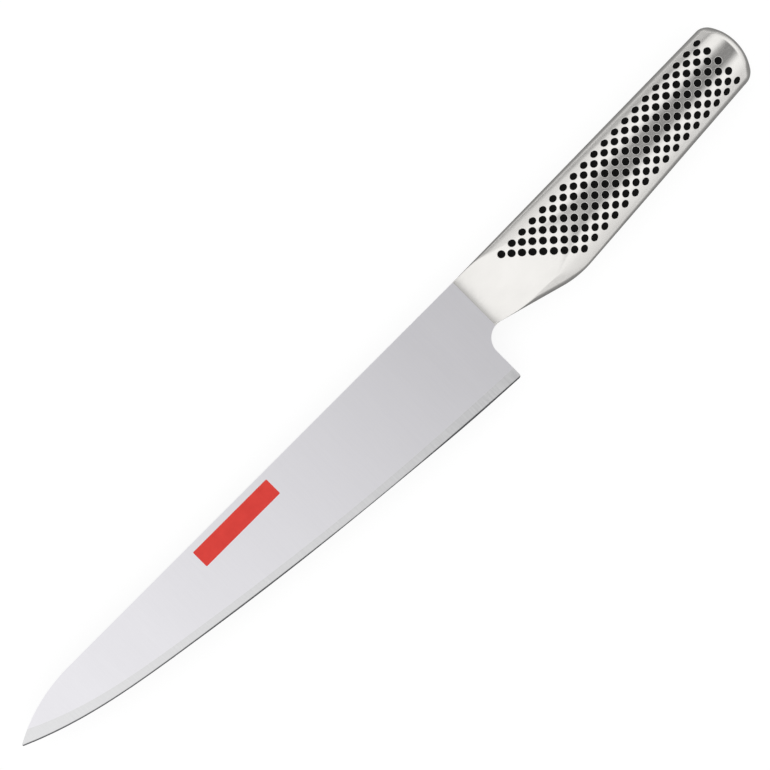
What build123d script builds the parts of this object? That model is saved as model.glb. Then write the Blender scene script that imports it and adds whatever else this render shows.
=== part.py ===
from build123d import *
import os
from math import acos, cos, degrees, radians, sin, tan

# Fillet knife lying on its side: a flexible blade with a stub tang, held in a hollow handle
# of two pressed half shells that is ballasted with sand and closed by a plug at the butt.
# +X runs from the tip to the butt, +Y from the cutting edge to the spine and +Z up from the
# table. The origin is on the table, under the middle of the knife.

os.makedirs("parts", exist_ok=True)

# Driving dimensions of the whole knife, in mm
blade_length = 207.2
heel_to_joint = 5.8
handle_length = 123.6
overrun = 2.0

# Blade
heel_depth = 38.7
tip_drop = 7.9
tip_run = 30.0
tip_radius = 0.5
heel_radius = 1.0
spine_thickness = 1.9
tip_thickness = 1.0
heel_thickness = 0.6
edge_thickness = 0.08
bevel_angle = 4.6
# Slope of the cutting edge at its two ends, as shares of its mean slope
edge_start_share = 3.0
edge_end_share = 0.34
# Points of the cutting edge: shares of the blade's length, and of the fall from tip to heel
edge_shares = [(0.0975, 0.237), (0.292, 0.5), (0.552, 0.738), (0.812, 0.913)]

# Finger notch between the heel and the neck
neck_height = 20.4
notch_radius = 6.5

# Stub tang and the lip of the half shells that lies over it
tang_length = 26.0
tang_thickness = 1.2
tang_margin = 3.2
tang_end_height = 9.0
tang_end_radius = 2.5

# Side outline of the handle
neck_slope = 15.5
neck_to_belly = 31.4
belly_radius = 35.0
underside_slope = 4.15
top_slope = 0.84
butt_radius = 24.0
butt_height = 23.6

# Cross section of the handle: two crowned sides of flat strips between bevelled and rounded edges
joint_thickness = 16.4
butt_thickness = 18.0
joint_crown_radius = 22.0
butt_crown_radius = 13.5
crown_sides = 38
edge_radius = 5.0
edge_flat = 0.6
bevel_slope = 45
butt_bevel = 2.5

# Swelling of the neck, seen from the spine: a hollow arc and then a crowned one
swell_hollow_radius = 35.0
swell_crown_radius = 125.0
swell_angle = 18.0
swell_turn_back = 14.0

# Hollow inside
wall = 1.2
cavity_start = 11.0
sand_gap = 0.1
sand_level = 2.0

# Filling hole and its plug
plug_diameter = 6.0
plug_flange_diameter = 8.0
plug_flange = 0.8

# Pressed dimples
dimple_diameter = 2.7
dimple_depth = 0.65
dimple_sides = 10
dimple_start = 18.0
dimple_margin = 8.6
dimple_row_pitch = 5.06
dimple_step_along = 2.62
dimple_step_across = 2.52
dimples_across = 9

# Places that follow from the sizes above
overall_length = blade_length + heel_to_joint + handle_length
tip_x = -overall_length / 2
heel_x = tip_x + blade_length
joint_x = heel_x + heel_to_joint
butt_x = joint_x + handle_length
butt_rise = handle_length * tan(radians(top_slope))
spine_y = (heel_depth - butt_rise) / 2
tip_y = spine_y - tip_drop
heel_y = spine_y - heel_depth
mid_z = butt_thickness / 2
mid_plane = Plane.XY.offset(mid_z)

# Slopes of the blade's flat side along its length and across it
taper_along = (spine_thickness - tip_thickness) / 2 / (joint_x - tip_x)
taper_across = (spine_thickness - heel_thickness) / 2 / heel_depth


def blade_half(x, y):
    """Half the blade's thickness at a point of its flat side."""
    return spine_thickness / 2 - (joint_x - x) * taper_along - (spine_y - y) * taper_across


# The notch's arc starts on the heel's back edge and runs under the neck
notch_x = heel_x + notch_radius
notch_y = spine_y - neck_height - notch_radius
joint_angle = degrees(acos((joint_x - notch_x) / notch_radius))
joint_y = notch_y + notch_radius * sin(radians(joint_angle))

# Blade outline, from the spine round the tip and along the cutting edge to the notch
edge_fall = heel_depth - tip_drop
edge_points = [(tip_x + along * blade_length, tip_y - down * edge_fall) for along, down in edge_shares]
mean_slope = edge_fall / blade_length
edge_start = Vector(1, -edge_start_share * mean_slope).normalized()
edge_end = Vector(1, -edge_end_share * mean_slope).normalized()

before_tip = (tip_x - overrun * edge_start.X, tip_y - overrun * edge_start.Y)
past_heel = (heel_x + overrun * edge_end.X, heel_y + overrun * edge_end.Y)

with BuildLine(mid_plane) as grind_path:
    Spline(
        before_tip,
        (tip_x, tip_y),
        *edge_points,
        (heel_x, heel_y),
        past_heel,
        tangents=[edge_start, edge_end],
    )

with BuildSketch(mid_plane) as blade_outline:
    with BuildLine():
        spine = Line((joint_x, spine_y), (tip_x + tip_run, spine_y))
        TangentArc(spine @ 1, (tip_x, tip_y), tangent=spine % 1)
        edge = Spline((tip_x, tip_y), *edge_points, (heel_x, heel_y), tangents=[edge_start, edge_end])
        Line(edge @ 1, (heel_x, notch_y))
        notch = CenterArc((notch_x, notch_y), notch_radius, 180, joint_angle - 180)
        Line(notch @ 1, spine @ 0)
    make_face()
    fillet(blade_outline.vertices().sort_by(Axis.X)[0], tip_radius)
    fillet(blade_outline.vertices().sort_by(Axis.Y)[0], heel_radius)

# Stub tang outline; the same sketch cuts its pocket in the half shells
tang_top = spine_y - tang_margin
tang_bottom = joint_y + tang_margin
tang_middle = (tang_top + tang_bottom) / 2

with BuildSketch(mid_plane) as tang_outline:
    with BuildLine():
        Polyline(
            (joint_x - overrun, tang_top),
            (joint_x, tang_top),
            (joint_x + tang_length, tang_middle + tang_end_height / 2),
            (joint_x + tang_length, tang_middle - tang_end_height / 2),
            (joint_x, tang_bottom),
            (joint_x - overrun, tang_bottom),
            close=True,
        )
    make_face()
    fillet(tang_outline.vertices().group_by(Axis.X)[-1], tang_end_radius)


# Wedge that grinds one side of the cutting edge: everything above a sloping line, in a plane
# square to the edge and swept along it
grind_rise = tan(radians(bevel_angle))
grind_reach = spine_thickness / 2 / grind_rise
grind_start = grind_path.line @ 0
grind_direction = grind_path.line % 0

with BuildPart() as grind:
    with BuildSketch(Plane(grind_start, x_dir=Vector(0, 0, 1).cross(grind_direction), z_dir=grind_direction)):
        with BuildLine():
            Polyline(
                (-overrun, edge_thickness / 2 - overrun * grind_rise),
                (grind_reach, edge_thickness / 2 + spine_thickness / 2),
                (-overrun, edge_thickness / 2 + spine_thickness / 2),
                close=True,
            )
        make_face()
    sweep(path=grind_path.line)

# Blade: outline between two flat sides, ground to the edge from both sides, and the tang
with BuildPart() as blade:
    add(blade_outline.sketch)
    extrude(amount=spine_thickness, both=True)
    for side in (1, -1):
        flat_point = (joint_x, spine_y, mid_z + side * spine_thickness / 2)
        flat_side = Plane(origin=flat_point, z_dir=(-taper_along, -taper_across, side))
        split(bisect_by=flat_side, keep=Keep.BOTTOM)
    add([grind.part, mirror(grind.part, about=mid_plane, mode=Mode.PRIVATE)], mode=Mode.SUBTRACT)
    add(tang_outline.sketch)
    extrude(amount=tang_thickness / 2, both=True)

blade.part.label = "blade"
export_step(blade.part, "parts/blade.step")

# Lines of the handle seen from the side: the spine line, the neck, the belly and the underside.
# They are carried past the butt, which is cut to length later
end_x = butt_x + overrun
neck_angle = radians(neck_slope)
neck_end = (notch_x + notch_radius * sin(neck_angle), notch_y + notch_radius * cos(neck_angle))
belly_x = joint_x + neck_to_belly
belly_y = neck_end[1] - (belly_x - neck_end[0]) * tan(neck_angle)
end_top = spine_y + (end_x - joint_x) * tan(radians(top_slope))
end_bottom = belly_y + (end_x - belly_x) * tan(radians(underside_slope))
front_bottom = neck_end[1] + (neck_end[0] - joint_x) * tan(neck_angle)
butt_y = spine_y + butt_rise - butt_height / 2
middle_slope = tan(radians((top_slope + underside_slope) / 2))


def middle_y(x):
    """Height of the grip's middle line, from the heel side to the spine side."""
    return butt_y - (butt_x - x) * middle_slope


def long_edges(part):
    """Edges that run along the handle."""
    return [edge for edge in part.edges() if edge.bounding_box().size.X > overrun]


# The edges are bevelled and then rounded, which leaves a narrow flat along the outline
half_thickness = butt_thickness / 2
bevel_turn = tan(radians(bevel_slope / 2))
edge_half = edge_radius * bevel_turn + edge_flat / 2


def bevelled_bar(inset):
    """Bar with the side outline of the handle, bevelled along its edges."""
    with BuildPart() as bar:
        with BuildSketch(mid_plane) as side_outline:
            with BuildLine():
                Polyline(
                    (joint_x, front_bottom),
                    (belly_x, belly_y),
                    (end_x, end_bottom),
                    (end_x, end_top),
                    (joint_x, spine_y),
                    close=True,
                )
            make_face()
            fillet(side_outline.vertices().sort_by(Axis.Y)[0], belly_radius)
            offset(amount=-inset)
        extrude(amount=half_thickness - inset, both=True)
        chamfer(long_edges(bar), half_thickness - inset - (edge_half - inset * bevel_turn))
    return bar.part


# Axis of the upper crowned side, from the joint to the butt
crown_x = joint_x - overrun
crown_start = Vector(crown_x, middle_y(crown_x), mid_z + joint_thickness / 2 - joint_crown_radius)
crown_end = Vector(end_x, middle_y(end_x), mid_z + half_thickness - butt_crown_radius)
crown_axis = crown_end - crown_start

# Plane of the neck's hollow, with the blade's own slope from spine to heel
swell_plane = Plane((joint_x, spine_y, mid_z), x_dir=(1, 0, 0), z_dir=(0, -1, -taper_across))


def crown(inset):
    """Tapering body of flat strips, whose upper side is the crowned side of the handle."""
    with BuildPart() as tapering:
        for place, radius in ((crown_start, joint_crown_radius), (crown_end, butt_crown_radius)):
            with BuildSketch(Plane(place, x_dir=(0, 0, 1), z_dir=crown_axis)):
                RegularPolygon(radius - inset, crown_sides, major_radius=False, rotation=180 / crown_sides)
        loft(ruled=True)
    return tapering.part


def swell(inset):
    """Cutter that hollows one side of the neck."""
    with BuildPart() as cutter:
        with BuildSketch(swell_plane):
            with BuildLine():
                start = spine_thickness / 2 - inset
                flat = Line((-overrun, start), (0, start))
                hollow = JernArc(flat @ 1, flat % 1, swell_hollow_radius + inset, swell_angle)
                rise = JernArc(hollow @ 1, hollow % 1, swell_crown_radius - inset, -swell_turn_back)
                run_out = Line(rise @ 1, rise @ 1 + rise % 1 * handle_length)
                Polyline(run_out @ 1, (-overrun, (run_out @ 1).Y), flat @ 0)
            make_face()
        extrude(amount=heel_depth, both=True)
    return cutter.part


def butt_limit(inset):
    """Body that ends at the bevelled butt, with everything in front of it."""
    radius = butt_radius - inset
    rim = half_thickness - butt_bevel - inset * bevel_turn
    place = (butt_x - butt_radius, butt_y, mid_z)
    with BuildPart() as limit:
        with BuildSketch(Plane(place, x_dir=(1, 0, 0), z_dir=(0, -1, 0))):
            with BuildLine():
                Polyline(
                    (0, -half_thickness),
                    (radius + rim - half_thickness, -half_thickness),
                    (radius, -rim),
                    (radius, rim),
                    (radius + rim - half_thickness, half_thickness),
                    (0, half_thickness),
                    close=True,
                )
            make_face()
        revolve(axis=Axis(place, (0, 0, 1)))
        with Locations(place):
            Box(handle_length, 2 * radius, butt_thickness, align=(Align.MAX, Align.CENTER, Align.CENTER))
    return limit.part


def shaped(bar, inset):
    """The bar crowned on both sides, hollowed at the neck and bevelled at the butt."""
    tapering = crown(inset)
    cutter = swell(inset)
    limit = butt_limit(inset)
    with BuildPart() as shape:
        add(bar)
        add(tapering, mode=Mode.INTERSECT)
        mirror(tapering, about=mid_plane, mode=Mode.INTERSECT)
        add(cutter, mode=Mode.SUBTRACT)
        mirror(cutter, about=mid_plane, mode=Mode.SUBTRACT)
        add(limit, mode=Mode.INTERSECT)
    return shape.part


# Outer form of the handle, rounded along its edges and notched for the finger
with BuildPart() as blank:
    add(bevelled_bar(0))
    fillet([edge for edge in long_edges(blank) if abs(edge.center().Z - mid_z) < edge_radius], edge_radius)

with BuildPart() as handle_form:
    add(shaped(blank.part, 0))
    with Locations((notch_x, notch_y, mid_z)):
        Cylinder(notch_radius, 2 * butt_thickness, mode=Mode.SUBTRACT)

# Cavity: the same form set in by the wall
cavity_front = Plane((joint_x + cavity_start, 0, 0), z_dir=(1, 0, 0))

with BuildPart() as cavity:
    add(shaped(bevelled_bar(wall), wall))
    split(bisect_by=cavity_front, keep=Keep.TOP)

# Plug of the filling hole, on the axis of the butt: a flange inside and a stem in the wall,
# ground flush with the butt
plug_plane = Plane((butt_x, butt_y, mid_z), z_dir=(-1, 0, 0))

with BuildPart() as fill_plug:
    with BuildSketch(plug_plane):
        Circle(plug_flange_diameter / 2)
    extrude(amount=wall + plug_flange)
    add(cavity.part, mode=Mode.INTERSECT)
    with BuildSketch(plug_plane):
        Circle(plug_diameter / 2)
    extrude(amount=wall + plug_flange)
    add(handle_form.part, mode=Mode.INTERSECT)

fill_plug.part.label = "fill_plug"
export_step(fill_plug.part, "parts/fill_plug.step")

# Pit of one dimple: a shallow pyramid that opens out above the surface
pit_rise = dimple_depth / 2
pit_mouth = dimple_diameter / 2 * (dimple_depth + pit_rise) / dimple_depth

with BuildPart() as pit:
    with BuildSketch(Plane.XY.offset(pit_rise)) as mouth:
        RegularPolygon(pit_mouth, dimple_sides)
    loft([mouth.sketch, Vertex(0, 0, -dimple_depth)])


def dimple_places():
    """Planes on the upper side, square to the surface, in slanting rows up to the butt."""
    places = []
    middle = (dimples_across - 1) / 2
    for row in range(int((handle_length - dimple_start) / dimple_row_pitch) + 1):
        for step in range(dimples_across):
            along = dimple_start + row * dimple_row_pitch + step * dimple_step_along
            if along > handle_length - dimple_margin:
                break
            x = joint_x + along
            radius = joint_crown_radius - (joint_crown_radius - butt_crown_radius) * along / handle_length
            y = middle_y(x) + radius * sin((middle - step) * dimple_step_across / radius)
            ray = Axis((x, y, 2 * butt_thickness), (0, 0, -1))
            point, normal = handle_form.part.find_intersection_points(ray)[0]
            places.append(Plane(point, z_dir=normal))
    return places


dimples = dimple_places()

# Upper half shell: hollow, with the tang's pocket, half the filling hole and the dimples
with BuildPart() as handle_upper_half:
    add(handle_form.part)
    split(bisect_by=mid_plane, keep=Keep.TOP)
    add(cavity.part, mode=Mode.SUBTRACT)
    add(tang_outline.sketch)
    extrude(amount=tang_thickness / 2, both=True, mode=Mode.SUBTRACT)
    with BuildSketch(plug_plane.offset(-overrun)):
        Circle(plug_diameter / 2)
    extrude(amount=2 * overrun + wall, mode=Mode.SUBTRACT)
    with Locations(*dimples):
        add(pit.part, mode=Mode.SUBTRACT)

handle_upper_half.part.label = "handle_upper_half"
export_step(handle_upper_half.part, "parts/handle_upper_half.step")

# Lower half shell: the mirror image of the upper one
with BuildPart() as handle_lower_half:
    mirror(handle_upper_half.part, about=mid_plane)

handle_lower_half.part.label = "handle_lower_half"
export_step(handle_lower_half.part, "parts/handle_lower_half.step")

# Sand ballast, settled level in the hollow round the tang and the plug
sand_inset = wall + sand_gap

with BuildPart() as sand_fill:
    add(shaped(bevelled_bar(sand_inset), sand_inset))
    split(bisect_by=cavity_front.offset(sand_gap), keep=Keep.TOP)
    split(bisect_by=mid_plane.offset(sand_level), keep=Keep.BOTTOM)
    add([blade.part, fill_plug.part], mode=Mode.SUBTRACT)

sand_fill.part.label = "sand_fill"
export_step(sand_fill.part, "parts/sand_fill.step")
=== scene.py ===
import math

import bpy
import numpy as np
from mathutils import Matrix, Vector
from mathutils.geometry import delaunay_2d_cdt


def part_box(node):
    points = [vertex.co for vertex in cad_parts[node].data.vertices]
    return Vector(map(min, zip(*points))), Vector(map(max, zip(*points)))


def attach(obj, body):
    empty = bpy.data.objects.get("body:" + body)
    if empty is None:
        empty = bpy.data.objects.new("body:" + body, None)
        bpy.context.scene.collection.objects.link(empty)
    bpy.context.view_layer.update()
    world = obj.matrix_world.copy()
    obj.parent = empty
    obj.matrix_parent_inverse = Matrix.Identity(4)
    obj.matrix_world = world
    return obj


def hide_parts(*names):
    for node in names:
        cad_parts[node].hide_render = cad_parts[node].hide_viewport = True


# Fillet knife lying on its side. +X runs from the tip to the butt, +Y from the cutting edge
# to the spine and +Z up. Lengths are in metres.

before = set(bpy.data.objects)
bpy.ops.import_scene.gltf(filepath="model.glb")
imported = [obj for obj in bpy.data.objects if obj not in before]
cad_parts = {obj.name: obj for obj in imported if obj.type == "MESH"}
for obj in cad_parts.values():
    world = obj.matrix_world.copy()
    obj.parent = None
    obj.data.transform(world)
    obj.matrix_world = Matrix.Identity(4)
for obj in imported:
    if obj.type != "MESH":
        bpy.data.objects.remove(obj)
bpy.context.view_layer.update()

MM = 0.001

# Places read from the frame
blade_low, blade_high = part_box("blade")
handle_low, handle_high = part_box("handle_upper_half")
tip_x = blade_low.x
spine_y = blade_high.y
joint_x = handle_low.x
butt_x = handle_high.x
mid_z = handle_low.z
handle_length = butt_x - joint_x

# Blade and finger notch, as in the solid
heel_to_joint = 5.8 * MM
heel_depth = 38.7 * MM
neck_height = 20.4 * MM
notch_radius = 6.5 * MM
spine_thickness = 1.9 * MM
tip_thickness = 1.0 * MM
heel_thickness = 0.6 * MM

# Cutting edge: half its thickness, and the rise above that of the dark line of painted shade along
# it
edge_half = 0.04 * MM
painted_edge_shade_rise = 0.036 * MM

# Side outline of the handle
neck_slope = math.radians(15.5)
neck_to_belly = 31.4 * MM
belly_radius = 35.0 * MM
underside_slope = math.radians(4.15)
top_slope = math.radians(0.84)
butt_radius = 24.0 * MM
butt_height = 23.6 * MM
rim_radius = 2.8 * MM

# Cross section of the handle: crowned sides between bevelled and rounded edges
overrun = 2.0 * MM
joint_thickness = 16.4 * MM
butt_thickness = 18.0 * MM
joint_crown_radius = 22.0 * MM
butt_crown_radius = 13.5 * MM
edge_radius = 5.0 * MM
edge_flat_half = 0.3 * MM
bevel_turn = math.radians(45.0)
crease_softness = 0.55 * MM
edge_softness = 0.35 * MM

# Swelling of the neck: a hollow arc, a crowned arc and a straight run-out
swell_hollow_radius = 35.0 * MM
swell_crown_radius = 125.0 * MM
swell_angle = math.radians(18.0)
swell_end_angle = math.radians(4.0)

# Dimples
dimple_radius = 1.35 * MM
lip_radius = 1.47 * MM
dimple_depth = 0.62 * MM
lip_depth = 0.07 * MM
dimple_start = 18.0 * MM
dimple_margin = 8.6 * MM
dimple_row_pitch = 5.06 * MM
dimple_step_along = 2.62 * MM
dimple_step_across = 2.52 * MM
dimples_across = 9

# Joint line round the plug in the butt
plug_radius = 3.0 * MM
groove_width = 0.3 * MM
groove_depth = 0.12 * MM
groove_tilt = 0.8

# Red patch on the blade, from the tip and from the spine
patch_start = 86.4 * MM
patch_length = 34.9 * MM
patch_top = 2.45 * MM
patch_height = 6.65 * MM
patch_corner = 0.35 * MM
patch_thickness = 0.03 * MM

# Fineness of the meshes
neck_step = 0.45 * MM
grip_step = 0.9 * MM
around_steps = 72
ring_steps = 28
ring_clearance = 0.25 * MM
bowl_rings = 5
rim_steps = 9
rim_searches = 12
cap_rings = 8
patch_corner_steps = 6
table_columns = 420
table_rows = 721
cell_inset = 1e-6
joining_distance = 1e-9
normal_reach_x = 0.15 * MM
normal_reach_share = 0.003

# Materials: used part of a noise's range, lean of the sharpened band, fade of the painted shade
# along the cutting edge
noise_span = (0.25, 0.75)
band_lean = (0.035, 0.060)
painted_edge_shade_fade = 0.3
fine_relief = 0.02 * MM
sand_relief = 0.2 * MM
white = (1, 1, 1, 1)

# Room: its light, and where its grey parts lie, in degrees from straight up or from level
room_light = 1.06
zone_tip_side = (-5.0, 5.0)
zone_butt_side = (16.0, 34.0)
zone_across = (14.0, 38.0)
zone_depth = 0.86
skirting_height = 3.0
skirting_span = (2.0, 12.0)
skirting_depth = (0.30, 0.72)
skirting_sides = (-0.9, 0.9)
skirting_turn = (-17.0, -6.0)
wall_span = (18.0, 48.0)
wall_depth = 0.20

# Floor: its size, its paint with a painted shade close to the knife's axis and plain away from it,
# and what the eye sees
floor_size = 3.0
painted_shade_near = 25.0 * MM
painted_shade_far = 160.0 * MM
floor_painted_shade = (0.30, 0.30, 0.30)
floor_far_shade = (0.92, 0.92, 0.92)
floor_seen_shade = (0.16, 0.16, 0.16)
floor_glow = 0.88

# Camera: looks straight down, with the knife along the picture's diagonal
view_turn = math.radians(-45.0)
view_centre = Vector((4.25 * MM, 10.14 * MM, mid_z))
view_width = 259.0 * MM
view_start = 10.0 * MM
lens = 135.0
sensor = 36.0

# Where the handle's outline follows from the sizes above
heel_x = joint_x - heel_to_joint
notch_centre = (heel_x + notch_radius, spine_y - neck_height - notch_radius)
neck_end = (
    notch_centre[0] + notch_radius * math.sin(neck_slope),
    notch_centre[1] + notch_radius * math.cos(neck_slope),
)
belly_x = joint_x + neck_to_belly
belly_y = neck_end[1] - (belly_x - neck_end[0]) * math.tan(neck_slope)
belly_tangent = belly_radius * math.tan((neck_slope + underside_slope) / 2)
belly_start = belly_x - belly_tangent * math.cos(neck_slope)
belly_stop = belly_x + belly_tangent * math.cos(underside_slope)
belly_centre = (
    belly_start + belly_radius * math.sin(neck_slope),
    neck_end[1]
    - (belly_start - neck_end[0]) * math.tan(neck_slope)
    + belly_radius * math.cos(neck_slope),
)
butt_y = spine_y + handle_length * math.tan(top_slope) - butt_height / 2
middle_slope = math.tan((top_slope + underside_slope) / 2)
taper_along = (spine_thickness - tip_thickness) / 2 / (joint_x - tip_x)
taper_across = (spine_thickness - heel_thickness) / 2 / heel_depth


def blade_half(x, y):
    """Half the blade's thickness at a point of its flat side."""
    return spine_thickness / 2 - (joint_x - x) * taper_along - (spine_y - y) * taper_across


def top_line(x):
    """Height of the handle's spine side at x."""
    return spine_y + (x - joint_x) * math.tan(top_slope)


def middle_line(x):
    """Height of the grip's middle line at x."""
    return butt_y - (butt_x - x) * middle_slope


def bar_line(x):
    """Height of the belly side without the notch: neck, belly curve and underside."""
    neck = neck_end[1] - (x - neck_end[0]) * math.tan(neck_slope)
    under = belly_y + (x - belly_x) * math.tan(underside_slope)
    inside = np.clip(belly_radius**2 - (x - belly_centre[0]) ** 2, 0, None)
    line = np.where(x > belly_start, belly_centre[1] - np.sqrt(inside), neck)
    return np.where(x > belly_stop, under, line)


def bottom_line(x):
    """Height of the handle's belly side, with the notch."""
    inside = np.clip(notch_radius**2 - (x - notch_centre[0]) ** 2, 0, None)
    return np.where(x < neck_end[0], notch_centre[1] + np.sqrt(inside), bar_line(x))


def bar_cosine(x):
    """Cosine of the belly side's slope at x."""
    share = np.clip((x - belly_start) / (belly_stop - belly_start), 0, 1)
    return np.cos(neck_slope + (underside_slope - neck_slope) * share)


def soft_least(a, b, softness):
    """The lesser of two heights, with the crease between them rounded off."""
    share = np.clip(0.5 + 0.5 * (b - a) / softness, 0, 1)
    return b * (1 - share) + a * share - softness * share * (1 - share)


def crown_height(x, y):
    """Height of the crowned side above the middle plane: the upper face of a long cone."""
    start_x = joint_x - overrun
    length = handle_length + 2 * overrun
    start_z = joint_thickness / 2 - joint_crown_radius
    rise = (butt_thickness / 2 - butt_crown_radius - start_z) / length
    widening = (butt_crown_radius - joint_crown_radius) / length
    square = 1 + middle_slope**2 + rise**2
    dx, dy = x - start_x, y - middle_line(start_x)
    along = dx + middle_slope * dy
    radius = joint_crown_radius + widening * along / square
    lean = widening * rise / square
    second = 1 - rise**2 / square - lean**2
    first = -2 * along * rise / square - 2 * radius * lean
    rest = dx**2 + dy**2 - along**2 / square - radius**2
    inside = np.clip(first**2 - 4 * second * rest, 0, None)
    return start_z + (-first + np.sqrt(inside)) / (2 * second)


def swell_height(x, y):
    """Height of the neck's swelling above the middle plane."""
    place = np.clip(x - joint_x, 0, None)
    hollow_end = swell_hollow_radius * math.sin(swell_angle)
    hollow_rise = spine_thickness / 2 + swell_hollow_radius * (1 - math.cos(swell_angle))
    centre_x = hollow_end + swell_crown_radius * math.sin(swell_angle)
    centre_z = hollow_rise - swell_crown_radius * math.cos(swell_angle)
    crown_end = centre_x - swell_crown_radius * math.sin(swell_end_angle)
    crown_rise = centre_z + swell_crown_radius * math.cos(swell_end_angle)
    inside = np.clip(swell_hollow_radius**2 - place**2, 0, None)
    hollow = spine_thickness / 2 + swell_hollow_radius - np.sqrt(inside)
    inside = np.clip(swell_crown_radius**2 - (place - centre_x) ** 2, 0, None)
    crown = centre_z + np.sqrt(inside)
    run_out = crown_rise + (place - crown_end) * math.tan(swell_end_angle)
    height = np.where(place > hollow_end, crown, hollow)
    height = np.where(place > crown_end, run_out, height)
    return height - (spine_y - y) * taper_across


def edge_height(distance):
    """Height that the bevelled and rounded edge leaves, at a distance in from the outline."""
    distance = np.clip(distance, 0, None)
    round_end = edge_radius * (1 - math.cos(bevel_turn))
    rounded = np.sqrt(np.clip(edge_radius**2 - (edge_radius - distance) ** 2, 0, None))
    bevel = edge_radius * math.sin(bevel_turn) + distance - round_end
    return edge_flat_half + np.where(distance < round_end, rounded, bevel)


def half_thickness(x, y):
    """Height of the handle's upper surface above the middle plane."""
    height = soft_least(crown_height(x, y), swell_height(x, y), crease_softness)
    top_edge = edge_height((top_line(x) - y) * math.cos(top_slope))
    low_edge = edge_height((y - bar_line(x)) * bar_cosine(x))
    height = soft_least(height, top_edge, np.minimum(edge_softness, height))
    return soft_least(height, low_edge, np.minimum(edge_softness, height))


def section_tables():
    """Tables of the upper side: y and height at evenly spaced shares of the way round it."""
    x = np.linspace(joint_x, butt_x, table_columns)[:, None]
    turn = np.linspace(0, math.pi, 2 * table_rows)[None, :]
    top, bottom = top_line(x), bottom_line(x)
    y = (top + bottom) / 2 + (top - bottom) / 2 * np.cos(turn)
    height = half_thickness(x, y)
    y = np.concatenate([top, y, bottom], axis=1)
    height = np.concatenate([0 * x, height, 0 * x], axis=1)
    arc = np.cumsum(np.hypot(np.diff(y, axis=1), np.diff(height, axis=1)), axis=1)
    arc = np.concatenate([0 * x, arc], axis=1)
    shares = np.linspace(0, 1, table_rows)
    y_table = np.array([np.interp(shares, a / a[-1], row) for a, row in zip(arc, y)])
    height_table = np.array([np.interp(shares, a / a[-1], row) for a, row in zip(arc, height)])
    return y_table, height_table, arc[:, -1]


y_table, height_table, half_girths = section_tables()


def girth_at(x):
    """Half the girth of the handle at x."""
    return np.interp(x, np.linspace(joint_x, butt_x, table_columns), half_girths)


def share_at(x, y):
    """Share of the way round the upper side at which the surface has this y."""
    column = int(round((x - joint_x) / handle_length * (table_columns - 1)))
    return np.interp(-y, -y_table[column], np.linspace(0, 1, table_rows))


def surface_at(x, share):
    """Point of the upper side at x, a share of the half girth down from the spine side."""
    last_column, last_row = table_columns - 1, table_rows - 1
    column = np.clip((x - joint_x) / handle_length * last_column, 0, last_column - cell_inset)
    row = np.clip(share * last_row, 0, last_row - cell_inset)
    i, j = column.astype(int), row.astype(int)
    a, b = column - i, row - j
    found = []
    for table in (y_table, height_table):
        near = table[i, j] * (1 - b) + table[i, j + 1] * b
        far = table[i + 1, j] * (1 - b) + table[i + 1, j + 1] * b
        found.append(near * (1 - a) + far * a)
    return np.stack([x, found[0], mid_z + found[1]], axis=-1)


def unit(vectors):
    """Vectors brought to length one."""
    return vectors / np.linalg.norm(vectors, axis=-1, keepdims=True)


def normal_at(x, share):
    """Outward normal of the upper side."""
    low_x = np.clip(x - normal_reach_x, joint_x, butt_x)
    high_x = np.clip(x + normal_reach_x, joint_x, butt_x)
    low_share = np.clip(share - normal_reach_share, 0, 1)
    high_share = np.clip(share + normal_reach_share, 0, 1)
    along = surface_at(high_x, share) - surface_at(low_x, share)
    across = surface_at(x, high_share) - surface_at(x, low_share)
    return unit(np.cross(across, along))


def butt_line(y):
    """Where the rounded butt ends, at a height y."""
    return butt_x - butt_radius + np.sqrt(np.clip(butt_radius**2 - (y - butt_y) ** 2, 0, None))


def butt_normal(y):
    """Outward normals of the rounded butt at heights y."""
    lean = (y - butt_y) / butt_radius
    return np.stack([np.sqrt(1 - lean**2), lean, 0 * lean], axis=1)


def on_butt(plan, depth):
    """Points of the butt, or a depth inside it, at the y and z of a plan."""
    return np.concatenate([butt_line(plan[:, 0])[:, None] - depth, plan], axis=1)


def dimple_places():
    """Centres of the dimples of one side: place along, and share of the half girth."""
    places = []
    middle = (dimples_across - 1) / 2
    narrowing = joint_crown_radius - butt_crown_radius
    for row in range(int((handle_length - dimple_start) / dimple_row_pitch) + 1):
        for step in range(dimples_across):
            along = dimple_start + row * dimple_row_pitch + step * dimple_step_along
            if along > handle_length - dimple_margin:
                break
            x = joint_x + along
            radius = joint_crown_radius - narrowing * along / handle_length
            y = middle_line(x) + radius * math.sin((middle - step) * dimple_step_across / radius)
            places.append((x, share_at(x, y)))
    return np.array(places)


def rings(places, radius):
    """Points round each dimple's centre, in the developed surface."""
    angles = np.arange(ring_steps) / ring_steps * 2 * math.pi
    x = places[:, :1] + radius * np.cos(angles)
    share = places[:, 1:] + radius * np.sin(angles) / girth_at(places[:, :1])
    return x, share


def side_grid(shares):
    """Grid of places on the upper side, up to the line where the butt's rim begins."""
    rim_start = np.full(len(shares), butt_x - rim_radius)
    for _ in range(rim_searches):
        rim_start = butt_line(surface_at(rim_start, shares)[:, 1]) - rim_radius
    neck_lines = np.arange(joint_x, joint_x + dimple_start, neck_step)
    grip_lines = np.arange(joint_x + dimple_start, rim_start.min() - grip_step / 2, grip_step)
    lines = np.concatenate([neck_lines, grip_lines])
    grid = [np.stack([np.full(len(shares), x), shares], axis=1) for x in lines]
    tail = int((rim_start.max() - lines[-1]) / grip_step) + 1
    for step in range(1, tail + 1):
        x = lines[-1] + (rim_start - lines[-1]) * step / tail
        grid.append(np.stack([x, shares], axis=1))
    return np.array(grid)


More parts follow.
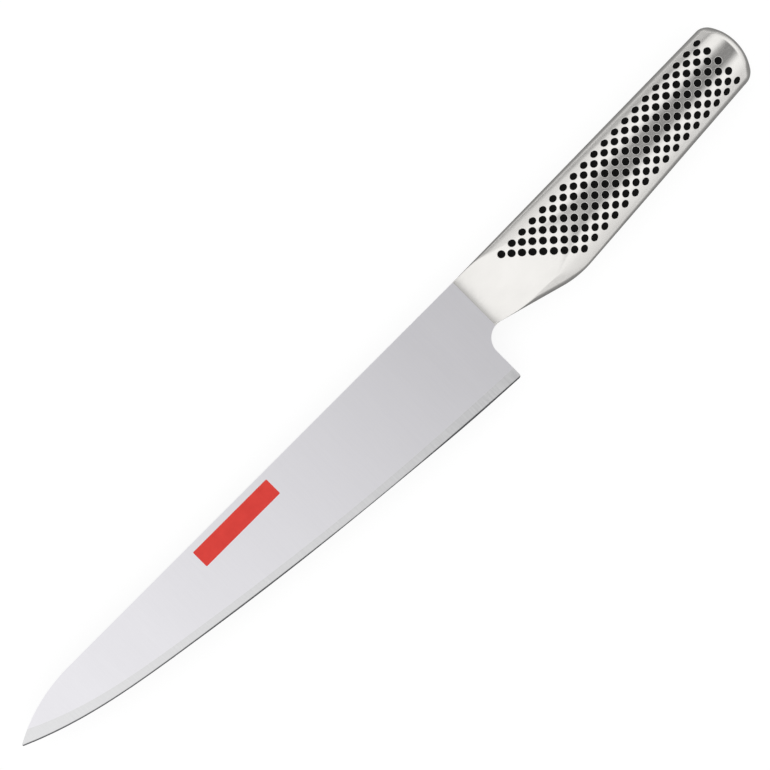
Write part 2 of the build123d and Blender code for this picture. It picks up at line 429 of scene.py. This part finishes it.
def skin_mesh(places):
    """Steel skin of the upper side with round openings for the dimples: points, normals, faces."""
    shares = 0.5 - 0.5 * np.cos(np.linspace(0, math.pi, around_steps + 1))
    grid = side_grid(shares)
    scale = girth_at(joint_x + handle_length / 2)

    # Grid points that stay clear of the dimples, then the dimples' rings, triangulated together
    flat = grid.reshape(-1, 2)
    away = np.full(len(flat), True)
    for x, share in places:
        distance = np.hypot(flat[:, 0] - x, (flat[:, 1] - share) * girth_at(x))
        away &= distance > lip_radius + ring_clearance
    index_of = np.full(len(flat), -1)
    index_of[away] = np.arange(away.sum())
    index_of = index_of.reshape(grid.shape[:2])
    edges = []
    for line in (index_of[0], index_of[-1], index_of[:, 0], index_of[:, -1]):
        edges += list(zip(line[:-1].tolist(), line[1:].tolist()))
    ring_x, ring_share = rings(places, lip_radius)
    first_ring = int(away.sum())
    for k in range(len(places)):
        start = first_ring + k * ring_steps
        edges += [(start + n, start + (n + 1) % ring_steps) for n in range(ring_steps)]
    spots = np.concatenate([flat[away], np.stack([ring_x.ravel(), ring_share.ravel()], axis=1)])
    plan = [Vector((x, share * scale)) for x, share in spots]
    triangles_inside = 1
    plan_found, _, triangles, origins, _, _ = delaunay_2d_cdt(
        plan, edges, [], triangles_inside, joining_distance, True
    )
    spots_found = np.array([(v.x, v.y / scale) for v in plan_found])
    place_of = np.full(len(spots), -1)
    for new, olds in enumerate(origins):
        place_of[olds] = new
    triangles = np.array(triangles)

    # Triangles inside the rings are left out
    centres = spots_found[triangles].mean(axis=1)
    keep = np.full(len(triangles), True)
    for x, share in places:
        distance = np.hypot(centres[:, 0] - x, (centres[:, 1] - share) * girth_at(x))
        keep &= distance > lip_radius
    points = surface_at(spots_found[:, 0], spots_found[:, 1])
    normals = normal_at(spots_found[:, 0], spots_found[:, 1])
    faces = triangles[keep].tolist()
    ring_index = place_of[first_ring:].reshape(len(places), ring_steps)
    border = {
        "front": place_of[index_of[0]],
        "rim": place_of[index_of[-1]],
        "top": place_of[index_of[:, 0]],
        "bottom": place_of[index_of[:, -1]],
    }
    return points, normals, faces, ring_index, border


def bowl_ring(places, radius):
    """Points and normals of the dimples' lips or bowls on a ring of the given radius."""
    x, share = rings(places, radius)
    centre = surface_at(places[:, 0], places[:, 1])[:, None, :]
    axis = normal_at(places[:, 0], places[:, 1])[:, None, :]
    base = surface_at(x, share)
    outward = unit(base - centre)
    if radius > dimple_radius:
        lip_width = lip_radius - dimple_radius
        part = (lip_radius - radius) / lip_width
        depth = lip_depth * part**2
        slope = 2 * lip_depth * part / lip_width
        axis_here = normal_at(x, share)
    else:
        part = radius / dimple_radius
        depth = lip_depth + (dimple_depth - lip_depth) * (1 - part**2)
        slope = 2 * (dimple_depth - lip_depth) * part / dimple_radius
        axis_here = axis
    return base - axis * depth, unit(axis_here - outward * slope)


def strip(lower, upper, closed):
    """Quads between two rows of point numbers."""
    count = len(lower)
    last = count if closed else count - 1
    return [
        (lower[n], lower[(n + 1) % count], upper[(n + 1) % count], upper[n]) for n in range(last)
    ]


def half_handle(places):
    """Upper half of the handle's skin with dimple lips, rim, butt and joint faces."""
    skin_points, skin_normals, faces, ring_index, border = skin_mesh(places)
    points, normals = [skin_points], [skin_normals]
    count = len(skin_points)

    def add_points(new_points, new_normals):
        """Adds points and gives back their numbers."""
        nonlocal count
        points.append(new_points.reshape(-1, 3))
        normals.append(new_normals.reshape(-1, 3))
        start = count
        count += len(points[-1])
        return np.arange(start, count).reshape(new_points.shape[:-1])

    # Lips of the dimples
    outer = ring_index
    for radius in ((lip_radius + dimple_radius) / 2, dimple_radius):
        inner = add_points(*bowl_ring(places, radius))
        for k in range(len(places)):
            faces += strip(inner[k], outer[k], True)
        outer = inner

    # Rim: each row draws in from the side towards the butt
    side = skin_points[border["rim"]]
    side_normal = skin_normals[border["rim"]]
    inward = -unit(side_normal * np.array([0, 1, 1]))
    rows = [border["rim"]]
    for step in range(1, rim_steps + 1):
        turn = step / rim_steps * math.pi / 2
        row = side + inward * rim_radius * (1 - math.cos(turn))
        row[:, 2] = np.maximum(row[:, 2], mid_z)
        row[[0, -1], 2] = mid_z
        row[:, 0] = butt_line(row[:, 1]) - rim_radius * (1 - math.sin(turn))
        lean = side_normal * math.cos(turn) + butt_normal(row[:, 1]) * math.sin(turn)
        rows.append(add_points(row, unit(lean)))

    # Butt: rings that close in on the plug, then the groove round it
    rim = row
    bearing = np.arctan2(rim[:, 2] - mid_z, rim[:, 1] - butt_y)
    spokes = np.stack([np.cos(bearing), np.sin(bearing)], axis=1)
    middle = np.array([butt_y, mid_z])
    groove_start = middle + spokes * (plug_radius + groove_width)
    for step in range(1, cap_rings + 1):
        share = step / cap_rings
        row = on_butt(rim[:, 1:] * (1 - share) + groove_start * share, 0)
        rows.append(add_points(row, butt_normal(row[:, 1])))
    for radius, depth in (
        (plug_radius + groove_width / 2, groove_depth / 2),
        (plug_radius, groove_depth),
    ):
        row = on_butt(middle + spokes * radius, depth)
        lean = np.concatenate([np.ones((len(row), 1)), -spokes * groove_tilt], axis=1)
        rows.append(add_points(row, unit(lean)))
    for near, far in zip(rows[:-1], rows[1:]):
        faces += strip(near, far, False)

    # Flat faces: the one on the other half and the one at the blade
    seam = [int(n) for n in border["top"]] + [int(row[0]) for row in rows[1:]]
    seam += [int(row[-1]) for row in rows[:0:-1]] + [int(n) for n in border["bottom"][::-1]]
    front = [int(n) for n in border["front"]]
    return np.concatenate(points), np.concatenate(normals), whole(faces), seam, front


def whole(faces):
    """Faces as tuples of plain numbers."""
    return [tuple(map(int, face)) for face in faces]


def oriented(points, faces, normals):
    """Faces turned so that each one looks the way its corners' normals do."""
    turned = []
    for face in faces:
        a, b, c = points[face[0]], points[face[1]], points[face[2]]
        outward = np.cross(b - a, c - a) @ normals[list(face)].sum(axis=0)
        turned.append(face if outward >= 0 else face[::-1])
    return turned


def all_bowls(places):
    """Bowls of the dimples: rings that close in on the middle of each bottom."""
    radii = [dimple_radius * k / bowl_rings for k in range(bowl_rings, 0, -1)]
    rows = [bowl_ring(places, radius) for radius in radii]
    bottom = surface_at(places[:, 0], places[:, 1])
    bottom_normal = normal_at(places[:, 0], places[:, 1])
    rows.append((bottom - bottom_normal * dimple_depth, bottom_normal))
    points = np.concatenate([row.reshape(-1, 3) for row, _ in rows])
    normals = np.concatenate([row.reshape(-1, 3) for _, row in rows])
    number = np.arange(bowl_rings * len(places) * ring_steps)
    number = number.reshape(bowl_rings, len(places), ring_steps)
    faces = []
    for k in range(len(places)):
        for outer, inner in zip(number[:-1, k], number[1:, k]):
            faces += strip(outer, inner, True)
        middle = number.size + k
        ring = number[-1, k]
        faces += [(ring[n], ring[(n + 1) % ring_steps], middle) for n in range(ring_steps)]
    return points, normals, oriented(points, whole(faces), normals)


def mirrored(points, normals, faces):
    """The same on the other side of the middle plane."""
    flip = np.array([1, 1, -1])
    moved = points * flip
    moved[:, 2] += 2 * mid_z
    return moved, normals * flip, [face[::-1] for face in faces]


def corner_normals(normals, faces):
    """The normal of each corner of each face."""
    return [normals[n] for face in faces for n in face]


def loop_direction(loop):
    """Direction that a flat loop of points faces."""
    following = np.roll(loop, -1, axis=0)
    return np.cross(loop, following).sum(axis=0)


def mesh_object(name, points, faces, material, corners=None):
    """A mesh object from arrays, smooth where a normal is given for each corner of each face."""
    mesh = bpy.data.meshes.new(name)
    mesh.from_pydata([tuple(p) for p in points], [], faces)
    if corners is not None:
        mesh.polygons.foreach_set("use_smooth", [True] * len(mesh.polygons))
    mesh.update()
    if corners is not None:
        mesh.normals_split_custom_set(corners)
    mesh.materials.append(material)
    piece = bpy.data.objects.new(name, mesh)
    bpy.context.scene.collection.objects.link(piece)
    return piece


def build_handle(material, enamel):
    """The two half shells, and the black enamel in the dimples of each."""
    places = dimple_places()
    points, normals, faces, seam, front = half_handle(places)
    skin = points, normals, oriented(points, faces, normals)
    bowls = all_bowls(places)

    for side, inward in (("upper", -1), ("lower", 1)):
        if side == "lower":
            skin, bowls = mirrored(*skin), mirrored(*bowls)
        points, normals, faces = skin
        corners = corner_normals(normals, faces)
        flat_faces = []
        for loop, normal in ((seam, (0, 0, inward)), (front, (-1, 0, 0))):
            turned = loop_direction(points[loop]) @ np.array(normal)
            flat_faces.append(tuple(loop if turned > 0 else loop[::-1]))
            corners += [normal] * len(loop)
        shell = mesh_object(f"shell_{side}", points, faces + flat_faces, material, corners)
        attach(shell, "root")
        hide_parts(f"handle_{side}_half")
        points, normals, faces = bowls
        corners = corner_normals(normals, faces)
        pits = mesh_object(f"dimples_{side}", points, faces, enamel, corners)
        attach(pits, "root")


def build_patch(material):
    """Red patch on the blade: a thin coat with rounded corners on the flat side."""
    left, right = tip_x + patch_start, tip_x + patch_start + patch_length
    high, low = spine_y - patch_top, spine_y - patch_top - patch_height
    outline = []
    for corner_x, corner_y, first in (
        (right - patch_corner, high - patch_corner, 0),
        (left + patch_corner, high - patch_corner, 90),
        (left + patch_corner, low + patch_corner, 180),
        (right - patch_corner, low + patch_corner, 270),
    ):
        for step in range(patch_corner_steps + 1):
            turn = math.radians(first + 90 * step / patch_corner_steps)
            x = corner_x + patch_corner * math.cos(turn)
            y = corner_y + patch_corner * math.sin(turn)
            outline.append((x, y))
    count = len(outline)
    under = [(x, y, mid_z + blade_half(x, y) - patch_thickness / 2) for x, y in outline]
    over = [(x, y, mid_z + blade_half(x, y) + patch_thickness / 2) for x, y in outline]
    faces = [tuple(range(count, 2 * count)), tuple(range(count))[::-1]]
    faces += [(n, (n + 1) % count, count + (n + 1) % count, count + n) for n in range(count)]
    patch = mesh_object("red_patch", under + over, faces, material)
    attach(patch, "root")


class Nodes:
    """Short way to write the nodes of a material or of the world."""

    # Numbers of the Mix node's sockets by the kind of its data: two inputs and the output
    mix_sockets = {"FLOAT": (2, 3, 0), "RGBA": (6, 7, 2)}

    def __init__(self, tree):
        self.tree = tree

    def add(self, kind, **settings):
        """A new node with its settings."""
        node = self.tree.nodes.new(kind)
        for name, value in settings.items():
            setattr(node, name, value)
        return node

    def give(self, value, socket):
        """Joins a socket to another one, or sets it to a constant."""
        if isinstance(value, bpy.types.NodeSocket):
            self.tree.links.new(value, socket)
        else:
            socket.default_value = value

    def maths(self, operation, *values):
        """Result of a calculation with one or two values, each a socket or a number."""
        node = self.add("ShaderNodeMath", operation=operation)
        for value, socket in zip(values, node.inputs):
            self.give(value, socket)
        return node.outputs[0]

    def parts(self, vector):
        """The X, Y and Z of a vector."""
        node = self.add("ShaderNodeSeparateXYZ")
        self.give(vector, node.inputs["Vector"])
        return node.outputs

    def ramp(self, source, start, stop, low=0.0, high=1.0, kind="LINEAR"):
        """Value that runs from low to high while the source runs from start to stop."""
        node = self.add("ShaderNodeMapRange", interpolation_type=kind)
        self.give(source, node.inputs["Value"])
        self.give(start, node.inputs["From Min"])
        self.give(stop, node.inputs["From Max"])
        self.give(low, node.inputs["To Min"])
        self.give(high, node.inputs["To Max"])
        return node.outputs["Result"]

    def smooth_turn(self, source, span, low, high):
        """Value that runs smoothly from low to high between two angles, by the angle's sine."""
        start, stop = (math.sin(math.radians(degrees)) for degrees in span)
        return self.ramp(source, start, stop, low, high, "SMOOTHSTEP")

    def mix(self, kind, share, first, second):
        """What lies between two colours or two values, by a share."""
        node = self.add("ShaderNodeMix", data_type=kind)
        first_at, second_at, result_at = self.mix_sockets[kind]
        self.give(share, node.inputs[0])
        self.give(first, node.inputs[first_at])
        self.give(second, node.inputs[second_at])
        return node.outputs[result_at]

    def by_eye(self, hidden, seen):
        """A shader for what the camera sees directly, and another one for all other light."""
        path = self.add("ShaderNodeLightPath")
        choice = self.add("ShaderNodeMixShader")
        self.give(path.outputs["Is Camera Ray"], choice.inputs[0])
        self.give(hidden, choice.inputs[1])
        self.give(seen, choice.inputs[2])
        return choice.outputs[0]


def new_material(name):
    """A material with its Principled shader, and its nodes."""
    material = bpy.data.materials.new(name)
    material.use_nodes = True
    shader = material.node_tree.nodes["Principled BSDF"]
    return material, Nodes(material.node_tree), shader


def grain(nodes, stretch, scale, detail=4.0, roughness=0.6):
    """Noise in the part's own frame, stretched along its axes."""
    place = nodes.add("ShaderNodeTexCoord")
    mapping = nodes.add("ShaderNodeMapping")
    noise = nodes.add("ShaderNodeTexNoise")
    nodes.give(place.outputs["Object"], mapping.inputs["Vector"])
    nodes.give(stretch, mapping.inputs["Scale"])
    nodes.give(mapping.outputs["Vector"], noise.inputs["Vector"])
    nodes.give(scale, noise.inputs["Scale"])
    nodes.give(detail, noise.inputs["Detail"])
    nodes.give(roughness, noise.inputs["Roughness"])
    return noise.outputs["Fac"]


def between(nodes, source, low=0.0, high=1.0):
    """A value that runs from low to high over the used part of a noise's range."""
    return nodes.ramp(source, *noise_span, low, high)


def shades(nodes, source, dark, light):
    """A colour between two shades, by the source."""
    return nodes.mix("RGBA", source, (*dark, 1), (*light, 1))


def relief(nodes, source, shader, strength, distance):
    """Fine relief on the shader."""
    bump = nodes.add("ShaderNodeBump")
    nodes.give(strength, bump.inputs["Strength"])
    nodes.give(distance, bump.inputs["Distance"])
    nodes.give(source, bump.inputs["Height"])
    nodes.give(bump.outputs["Normal"], shader.inputs["Normal"])


def polished_steel():
    """Buffed steel of the handle, with the faint cloudiness of buffing."""
    material, nodes, shader = new_material("polished_steel")
    clouds = grain(nodes, stretch=(1.0, 1.6, 1.6), scale=55.0)
    fine = grain(nodes, stretch=(0.5, 2.0, 2.0), scale=900.0)
    share = between(nodes, clouds)
    colour = shades(nodes, share, dark=(0.80, 0.785, 0.76), light=(0.87, 0.855, 0.83))
    nodes.give(colour, shader.inputs["Base Color"])
    nodes.give(between(nodes, fine, low=0.17, high=0.25), shader.inputs["Roughness"])
    shader.inputs["Metallic"].default_value = 1.0
    relief(nodes, fine, shader, strength=0.05, distance=fine_relief)
    return material


def black_enamel():
    """Satin black coat in the dimples."""
    material, nodes, shader = new_material("black_enamel")
    fine = grain(nodes, stretch=(1.0, 1.0, 1.0), scale=1500.0)
    share = between(nodes, fine)
    colour = shades(nodes, share, dark=(0.002, 0.002, 0.002), light=(0.005, 0.005, 0.005))
    nodes.give(colour, shader.inputs["Base Color"])
    nodes.give(between(nodes, fine, low=0.30, high=0.42), shader.inputs["Roughness"])
    shader.inputs["Specular IOR Level"].default_value = 0.06
    relief(nodes, fine, shader, strength=0.10, distance=fine_relief)
    return material


def satin_blade():
    """Ground blade: fine lines from spine to edge, a sharpened band and a dark line of painted
    shade along the cutting edge.
    """
    material, nodes, shader = new_material("satin_blade")
    lines = grain(nodes, stretch=(1.0, 0.035, 1.0), scale=1700.0, detail=3.0)
    clouds = grain(nodes, stretch=(1.0, 0.5, 1.0), scale=30.0)
    share = between(nodes, lines)
    broad = between(nodes, clouds)
    face = nodes.add("ShaderNodeNewGeometry")

    # The sharpened band leans outwards more than the flat side does
    normal = nodes.parts(face.outputs["True Normal"])
    level_part = nodes.add("ShaderNodeCombineXYZ")
    nodes.give(normal["X"], level_part.inputs["X"])
    nodes.give(normal["Y"], level_part.inputs["Y"])
    lean = nodes.add("ShaderNodeVectorMath", operation="LENGTH")
    nodes.give(level_part.outputs["Vector"], lean.inputs[0])
    band = nodes.ramp(lean.outputs["Value"], *band_lean)

    # Painted shade: a dark line along the cutting edge, where it lies close to the middle plane
    place = nodes.parts(face.outputs["Position"])
    height = nodes.maths("ABSOLUTE", nodes.maths("SUBTRACT", place["Z"], mid_z))
    painted_edge_shade_start = edge_half + painted_edge_shade_rise * (1 + painted_edge_shade_fade)
    painted_edge_shade_full = edge_half + painted_edge_shade_rise * (1 - painted_edge_shade_fade)
    painted_edge_shade = nodes.ramp(height, painted_edge_shade_start, painted_edge_shade_full)

    flat_colour = shades(nodes, share, dark=(0.865, 0.855, 0.89), light=(0.885, 0.875, 0.91))
    band_colour = shades(nodes, share, dark=(0.74, 0.74, 0.75), light=(0.82, 0.82, 0.825))
    ground_colour = nodes.mix("RGBA", band, flat_colour, band_colour)
    # Painted shade: the dark colour of the line along the cutting edge
    painted_edge_shade_colour = (0.10, 0.10, 0.105, 1)
    colour = nodes.mix("RGBA", painted_edge_shade, ground_colour, painted_edge_shade_colour)
    nodes.give(colour, shader.inputs["Base Color"])
    flat_roughness = between(nodes, broad, low=0.285, high=0.315)
    band_roughness = between(nodes, share, low=0.29, high=0.35)
    roughness = nodes.mix("FLOAT", band, flat_roughness, band_roughness)
    nodes.give(roughness, shader.inputs["Roughness"])
    shader.inputs["Metallic"].default_value = 1.0
    return material


def red_coat():
    """Printed red coat, slightly uneven."""
    material, nodes, shader = new_material("red_coat")
    uneven = grain(nodes, stretch=(1.0, 1.0, 1.0), scale=260.0)
    share = between(nodes, uneven)
    colour = shades(nodes, share, dark=(0.70, 0.026, 0.016), light=(0.80, 0.040, 0.026))
    nodes.give(colour, shader.inputs["Base Color"])
    nodes.give(between(nodes, uneven, low=0.38, high=0.48), shader.inputs["Roughness"])
    relief(nodes, uneven, shader, strength=0.05, distance=fine_relief)
    return material


def dry_sand():
    """Loose sand inside the handle."""
    material, nodes, shader = new_material("dry_sand")
    grains = grain(nodes, stretch=(1.0, 1.0, 1.0), scale=1800.0, detail=2.0)
    share = between(nodes, grains)
    colour = shades(nodes, share, dark=(0.42, 0.33, 0.21), light=(0.70, 0.60, 0.44))
    nodes.give(colour, shader.inputs["Base Color"])
    nodes.give(between(nodes, grains, low=0.75, high=0.95), shader.inputs["Roughness"])
    relief(nodes, grains, shader, strength=0.5, distance=sand_relief)
    return material


def build_floor():
    """Floor: white to the eye; its paint, grey close to the knife as painted shade, shows in the
    steel alone.
    """
    material = bpy.data.materials.new("floor_white")
    material.use_nodes = True
    nodes = Nodes(material.node_tree)
    material.node_tree.nodes.remove(material.node_tree.nodes["Principled BSDF"])
    output = material.node_tree.nodes["Material Output"]

    # Painted shade: the paint darkens close to the knife's axis, standing in for the shade under
    # the knife in the steel's reflections
    place = nodes.add("ShaderNodeNewGeometry")
    aside = nodes.maths("ABSOLUTE", nodes.parts(place.outputs["Position"])["Y"])
    painted_shade_spread = nodes.ramp(aside, painted_shade_near, painted_shade_far)
    paint = nodes.add("ShaderNodeBsdfDiffuse")
    paint_with_painted_shade = shades(nodes, painted_shade_spread, floor_painted_shade, floor_far_shade)
    nodes.give(paint_with_painted_shade, paint.inputs["Color"])

    faint = nodes.add("ShaderNodeBsdfDiffuse")
    nodes.give((*floor_seen_shade, 1), faint.inputs["Color"])
    glow = nodes.add("ShaderNodeEmission")
    nodes.give(white, glow.inputs["Color"])
    nodes.give(floor_glow, glow.inputs["Strength"])
    seen = nodes.add("ShaderNodeAddShader")
    nodes.give(faint.outputs[0], seen.inputs[0])
    nodes.give(glow.outputs[0], seen.inputs[1])
    nodes.give(nodes.by_eye(paint.outputs[0], seen.outputs[0]), output.inputs["Surface"])

    corners = ((-1, -1), (1, -1), (1, 1), (-1, 1))
    points = [(x * floor_size, y * floor_size, 0) for x, y in corners]
    floor = mesh_object("floor", points, [(0, 1, 2, 3)], material)


def build_room():
    """World: a pale room, with a grey zone overhead, a grey skirting and slightly grey walls."""
    world = bpy.data.worlds.new("pale_room")
    bpy.context.scene.world = world
    world.use_nodes = True
    for node in list(world.node_tree.nodes):
        world.node_tree.nodes.remove(node)
    nodes = Nodes(world.node_tree)
    direction = nodes.add("ShaderNodeTexCoord")
    towards = nodes.parts(direction.outputs["Generated"])

    # Grey zone overhead: from the tip's side to the butt's side, and across
    begins = nodes.smooth_turn(towards["X"], zone_tip_side, 0.0, 1.0)
    ends = nodes.smooth_turn(towards["X"], zone_butt_side, 1.0, 0.0)
    sideways = nodes.maths("ABSOLUTE", towards["Y"])
    across = nodes.smooth_turn(sideways, zone_across, 1.0, 0.0)
    zone = nodes.maths("MULTIPLY", nodes.maths("MULTIPLY", begins, ends), across)
    zone = nodes.maths("MULTIPLY", zone, zone_depth)

    # Grey skirting low down: greyer on the spine's side, and none where the neck's facet looks
    centre_height = math.sin(math.radians(skirting_height))
    level = nodes.maths("ABSOLUTE", nodes.maths("SUBTRACT", towards["Z"], centre_height))
    low_down = nodes.smooth_turn(level, skirting_span, 1.0, 0.0)
    beside = nodes.ramp(towards["Y"], *skirting_sides, *skirting_depth, "SMOOTHSTEP")
    past_neck = nodes.smooth_turn(towards["X"], skirting_turn, 0.0, 1.0)
    skirting = nodes.maths("MULTIPLY", nodes.maths("MULTIPLY", low_down, beside), past_neck)

    # Walls, greyest at the foot
    walls = nodes.smooth_turn(towards["Z"], wall_span, wall_depth, 0.0)

    darkest = nodes.maths("MAXIMUM", nodes.maths("MAXIMUM", zone, skirting), walls)
    room = nodes.add("ShaderNodeBackground")
    nodes.give(white, room.inputs["Color"])
    nodes.give(nodes.maths("SUBTRACT", room_light, darkest), room.inputs["Strength"])
    plain = nodes.add("ShaderNodeBackground")
    nodes.give(white, plain.inputs["Color"])
    nodes.give(1.0, plain.inputs["Strength"])
    output = nodes.add("ShaderNodeOutputWorld")
    nodes.give(nodes.by_eye(room.outputs[0], plain.outputs[0]), output.inputs["Surface"])


def place_camera():
    """Camera straight above the knife."""
    camera_data = bpy.data.cameras.new("camera")
    camera_data.sensor_width = sensor
    camera_data.lens = lens
    camera_data.clip_start = view_start
    camera = bpy.data.objects.new("camera", camera_data)
    bpy.context.scene.collection.objects.link(camera)
    camera.location = view_centre + Vector((0, 0, view_width * lens / sensor))
    camera.rotation_euler = (0, 0, view_turn)
    bpy.context.scene.camera = camera


steel = polished_steel()
build_handle(steel, black_enamel())
build_patch(red_coat())
for node, material in (
    ("blade", satin_blade()),
    ("handle_upper_half", steel),
    ("handle_lower_half", steel),
    ("fill_plug", steel),
    ("sand_fill", dry_sand()),
):
    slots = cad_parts[node].data.materials
    slots.clear()
    slots.append(material)

build_floor()
build_room()
place_camera()
bpy.context.scene.view_settings.view_transform = "Standard"
